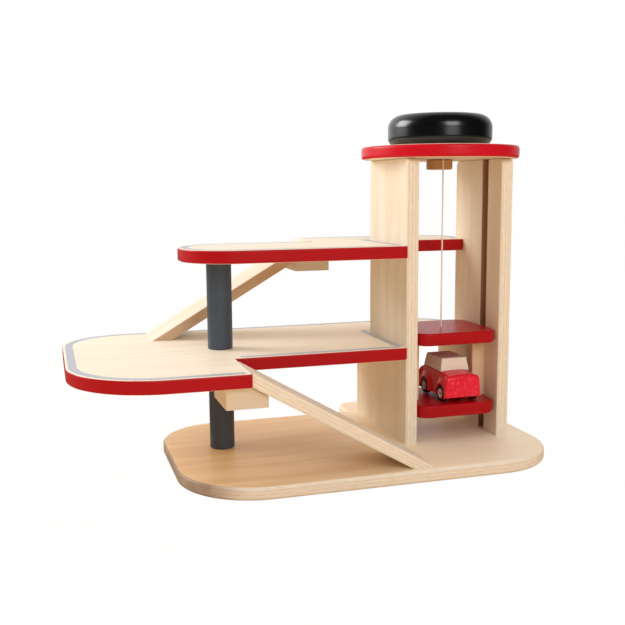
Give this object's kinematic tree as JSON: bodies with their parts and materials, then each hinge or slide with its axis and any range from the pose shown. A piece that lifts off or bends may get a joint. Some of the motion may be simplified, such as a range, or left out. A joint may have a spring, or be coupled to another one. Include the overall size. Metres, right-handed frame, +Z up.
{
  "type": "toy parking garage with lift",
  "caption": "Wooden toy parking garage with decks, ramps and a lift tower, where turning a big wheel on the roof winds a cord and raises a lift that carries a toy car.",
  "frame": {"origin": "on the floor, under the middle of the whole toy's box", "axes": "+X to the right along the longest side, towards the lift tower; +Y away from the front, to the back; +Z up"},
  "size_m": [0.4416, 0.255, 0.3245],
  "materials": {
    "birch_plywood": "clear-lacquered birch plywood, fine grain",
    "red_edged_plywood": "clear-lacquered birch plywood with red painted edges",
    "grey_painted_wood": "satin blue-grey paint on turned wood",
    "black_lacquer_wood": "glossy black lacquer on turned wood",
    "natural_wood": "sanded bare wood",
    "beech_dowel": "bare beech",
    "cotton_cord": "twisted off-white cord",
    "clear_washer": "satin",
    "steel": "zinc-plated",
    "red_lacquer_wood": "glossy red lacquer on wood",
    "black_rubber": "matt",
    "grey_plastic": "satin"
  },
  "bodies": {
    "base": {"base_board": "red_edged_plywood", "left_upright": "birch_plywood", "right_upright": "birch_plywood", "mid_deck": "red_edged_plywood", "upper_deck": "red_edged_plywood", "lower_pillar": "grey_painted_wood", "upper_pillar": "grey_painted_wood", "front_ramp": "red_edged_plywood", "rear_ramp": "red_edged_plywood", "front_ramp_block": "natural_wood", "rear_ramp_block": "natural_wood", "roof_disc": "red_edged_plywood", "knob_washer": "clear_washer", "lift_cord": "cotton_cord", "roof_dowels": "beech_dowel", "mid_deck_dowels": "beech_dowel", "upper_deck_dowels": "beech_dowel", "pillar_dowels": "beech_dowel", "base_screws": "steel"},
    "knob": {"wheel_knob": "black_lacquer_wood", "knob_axle": "beech_dowel", "axle_hub": "natural_wood", "cord_winding": "cotton_cord"},
    "lift": {"lift_ceiling": "red_edged_plywood", "lift_floor": "red_edged_plywood", "left_guide_post": "natural_wood", "right_guide_post": "natural_wood", "lift_dowels": "beech_dowel", "cord_knot": "cotton_cord"},
    "car": {"car_body": "red_lacquer_wood", "car_cabin": "natural_wood"},
    "front_wheels": {"front_axle": "steel", "front_left_tyre": "black_rubber", "front_left_hub": "grey_plastic", "front_right_tyre": "black_rubber", "front_right_hub": "grey_plastic"},
    "rear_wheels": {"rear_axle": "steel", "rear_left_tyre": "black_rubber", "rear_left_hub": "grey_plastic", "rear_right_tyre": "black_rubber", "rear_right_hub": "grey_plastic"}
  },
  "joints": [
    {"name": "knob_spin", "type": "hinge", "parent": "base", "child": "knob", "pos_m": [0.142, -0.00413, 0.3], "axis": [0, 0, 1], "range_deg": [-154.9, 1002.6]},
    {"name": "lift_slide", "type": "slide", "parent": "base", "child": "lift", "axis": [0, 0, 1], "range_m": [-0.0238, 0.154], "deforming": ["lift_cord"]},
    {"name": "car_roll", "type": "slide", "parent": "lift", "child": "car", "axis": [0, 1, 0], "range_m": [-0.008, 0.0085]},
    {"name": "front_wheels_turn", "type": "hinge", "parent": "car", "child": "front_wheels", "pos_m": [0.1485, -0.0385, 0.0562], "axis": [1, 0, 0], "range_deg": [-61, 57.5]},
    {"name": "rear_wheels_turn", "type": "hinge", "parent": "car", "child": "rear_wheels", "pos_m": [0.1485, -0.0005, 0.0562], "axis": [1, 0, 0], "range_deg": [-61, 57.5]}
  ],
  "couplings": [
    {"joint": "lift_slide", "follows": "knob_spin", "m_per_rad": 0.0088},
    {"joint": "front_wheels_turn", "follows": "car_roll", "rad_per_m": -125},
    {"joint": "rear_wheels_turn", "follows": "car_roll", "rad_per_m": -125}
  ]
}
